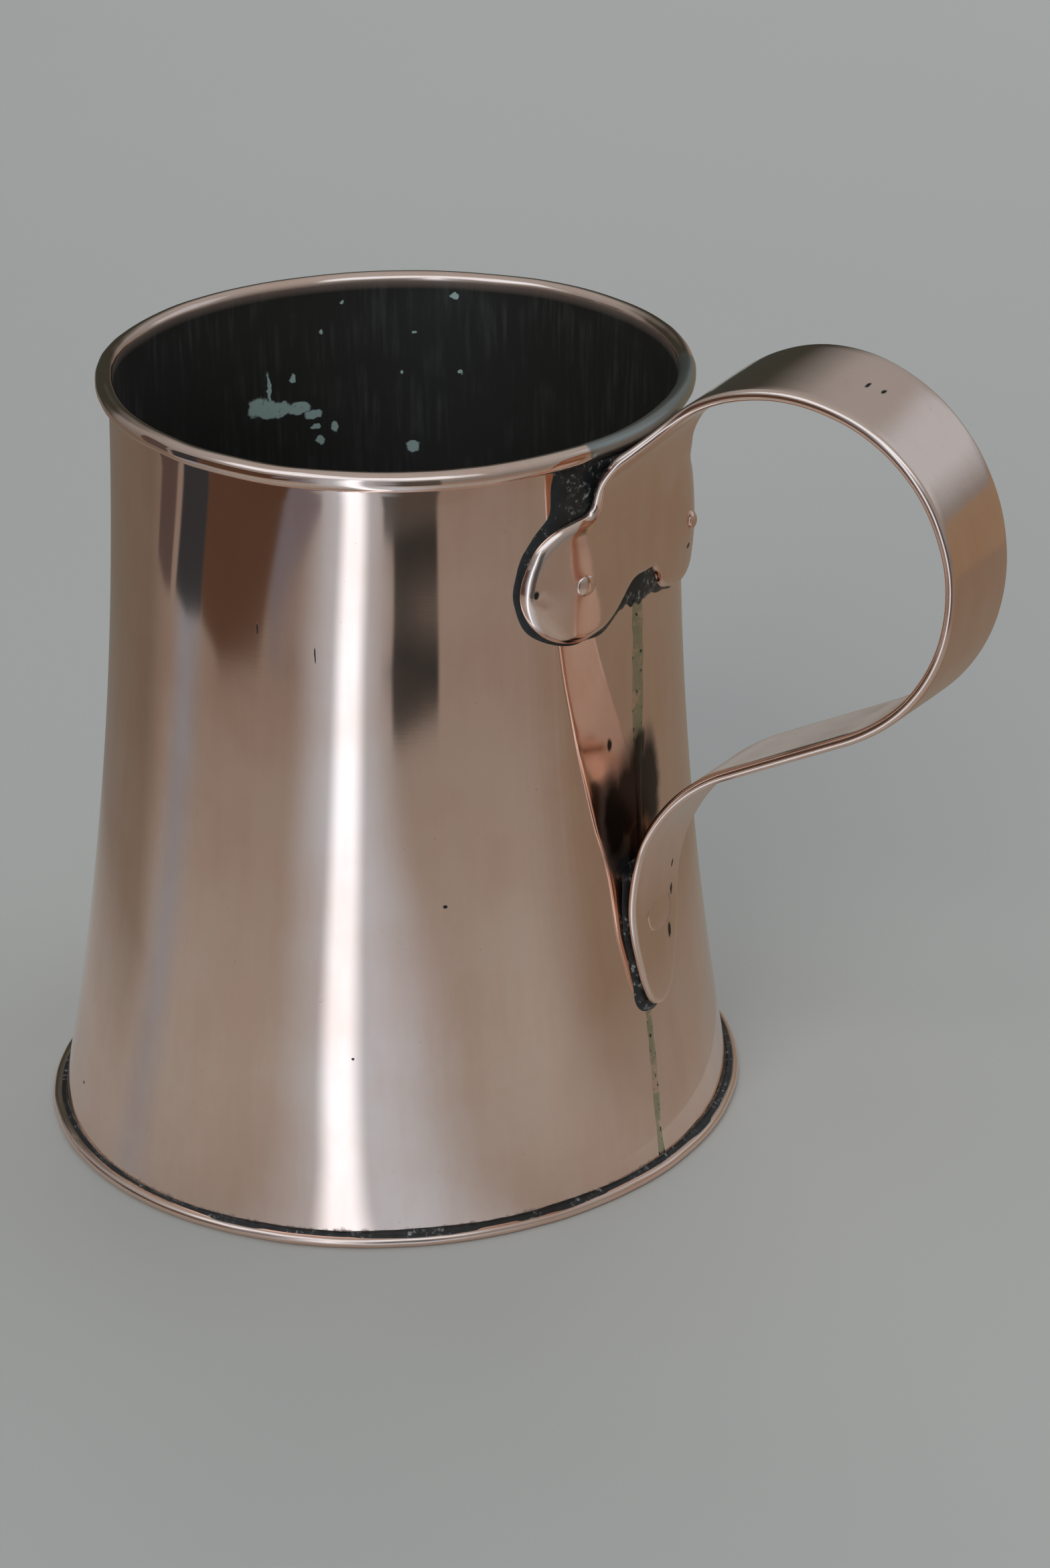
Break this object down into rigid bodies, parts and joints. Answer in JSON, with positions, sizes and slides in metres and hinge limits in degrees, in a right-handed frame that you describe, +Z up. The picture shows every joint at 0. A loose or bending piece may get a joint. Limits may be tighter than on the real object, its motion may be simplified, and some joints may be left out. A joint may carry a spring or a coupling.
{
  "type": "copper mug",
  "caption": "Tall flared copper mug with a rolled wired rim, a folded-on base and a looped strap handle soldered and riveted over the body's seam.",
  "frame": {"origin": "centre of the base, on the surface that the mug stands on", "axes": "+Z up along the axis of the body; +X out through the middle of the handle and the body's seam; +Y across the handle's width"},
  "size_m": [0.174, 0.1246, 0.1475],
  "materials": {
    "copper_body": "polished copper outside, dark oxide inside",
    "copper_base": "polished copper on the lip, dull underneath",
    "copper_handle": "polished copper",
    "copper_rivet": "polished copper",
    "spelter": "dull greenish brass",
    "wire": "plain iron wire, hidden in the rim",
    "solder": "blackened soft solder"
  },
  "bodies": {
    "root": {"body_wall": "copper_body", "side_seam_braze": "spelter", "rim_wire": "wire", "base_plate": "copper_base", "base_inner_solder": "solder", "foot_groove_solder": "solder", "handle_strap": "copper_handle", "upper_end_solder": "solder", "lower_end_solder": "solder", "upper_rivets": "copper_rivet", "lower_rivet": "copper_rivet"}
  },
  "joints": []
}
